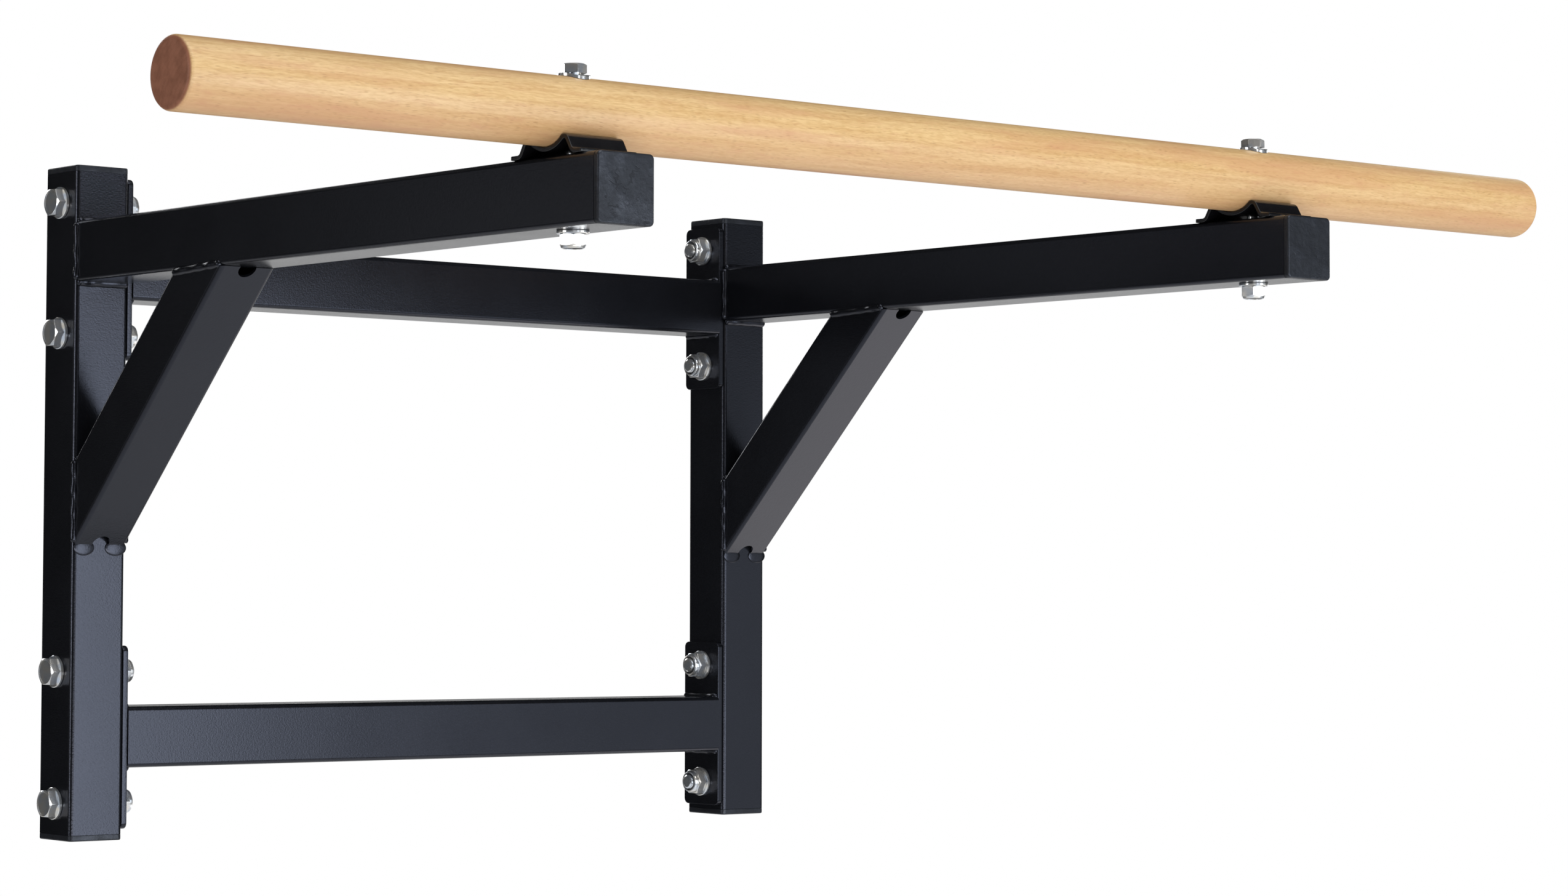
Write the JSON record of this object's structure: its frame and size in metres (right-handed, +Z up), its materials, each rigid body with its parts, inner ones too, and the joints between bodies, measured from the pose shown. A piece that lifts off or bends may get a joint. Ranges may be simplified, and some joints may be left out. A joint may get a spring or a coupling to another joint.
{
  "type": "wall-mounted pull up bar",
  "caption": "Wall-mounted pull up bar: a bolted frame of black square steel tube with braced arms that carry a round wooden bar in bent steel saddles.",
  "frame": {"origin": "middle of the upper crossbar's back face, on the wall plane", "axes": "+X along the bar, +Y into the wall, +Z up"},
  "size_m": [1.092, 0.581, 0.4579],
  "materials": {
    "powder_coated_steel": "black fine-textured powder coat, satin",
    "saddle_steel": "black powder coat, smoother and glossier",
    "beech": "clear satin varnish on fine straight grain",
    "zinc": "bright zinc plate with a faint blue tint",
    "cap_plastic": "black polyethylene, matte"
  },
  "bodies": {
    "root": {"arm_cap_left": "cap_plastic", "arm_cap_right": "cap_plastic", "arm_left": "powder_coated_steel", "arm_right": "powder_coated_steel", "bar": "beech", "bar_bolt_left": "zinc", "bar_bolt_right": "zinc", "bar_nut_left": "zinc", "bar_nut_right": "zinc", "bar_washer_left": "zinc", "bar_washer_right": "zinc", "brace_left": "powder_coated_steel", "brace_right": "powder_coated_steel", "cross_bolt_left_lower_above": "zinc", "cross_bolt_left_lower_below": "zinc", "cross_bolt_left_upper_above": "zinc", "cross_bolt_left_upper_below": "zinc", "cross_bolt_right_lower_above": "zinc", "cross_bolt_right_lower_below": "zinc", "cross_bolt_right_upper_above": "zinc", "cross_bolt_right_upper_below": "zinc", "cross_head_washer_left_lower_above": "zinc", "cross_head_washer_left_lower_below": "zinc", "cross_head_washer_left_upper_above": "zinc", "cross_head_washer_left_upper_below": "zinc", "cross_head_washer_right_lower_above": "zinc", "cross_head_washer_right_lower_below": "zinc", "cross_head_washer_right_upper_above": "zinc", "cross_head_washer_right_upper_below": "zinc", "cross_nut_left_lower_above": "zinc", "cross_nut_left_lower_below": "zinc", "cross_nut_left_upper_above": "zinc", "cross_nut_left_upper_below": "zinc", "cross_nut_right_lower_above": "zinc", "cross_nut_right_lower_below": "zinc", "cross_nut_right_upper_above": "zinc", "cross_nut_right_upper_below": "zinc", "cross_nut_washer_left_lower_above": "zinc", "cross_nut_washer_left_lower_below": "zinc", "cross_nut_washer_left_upper_above": "zinc", "cross_nut_washer_left_upper_below": "zinc", "cross_nut_washer_right_lower_above": "zinc", "cross_nut_washer_right_lower_below": "zinc", "cross_nut_washer_right_upper_above": "zinc", "cross_nut_washer_right_upper_below": "zinc", "crossbar_lower": "powder_coated_steel", "crossbar_upper": "powder_coated_steel", "flange_plate_left_lower": "powder_coated_steel", "flange_plate_left_upper": "powder_coated_steel", "flange_plate_right_lower": "powder_coated_steel", "flange_plate_right_upper": "powder_coated_steel", "saddle_left": "saddle_steel", "saddle_right": "saddle_steel", "upright_cap_left_bottom": "cap_plastic", "upright_cap_left_top": "cap_plastic", "upright_cap_right_bottom": "cap_plastic", "upright_cap_right_top": "cap_plastic", "upright_left": "powder_coated_steel", "upright_right": "powder_coated_steel"}
  },
  "joints": []
}
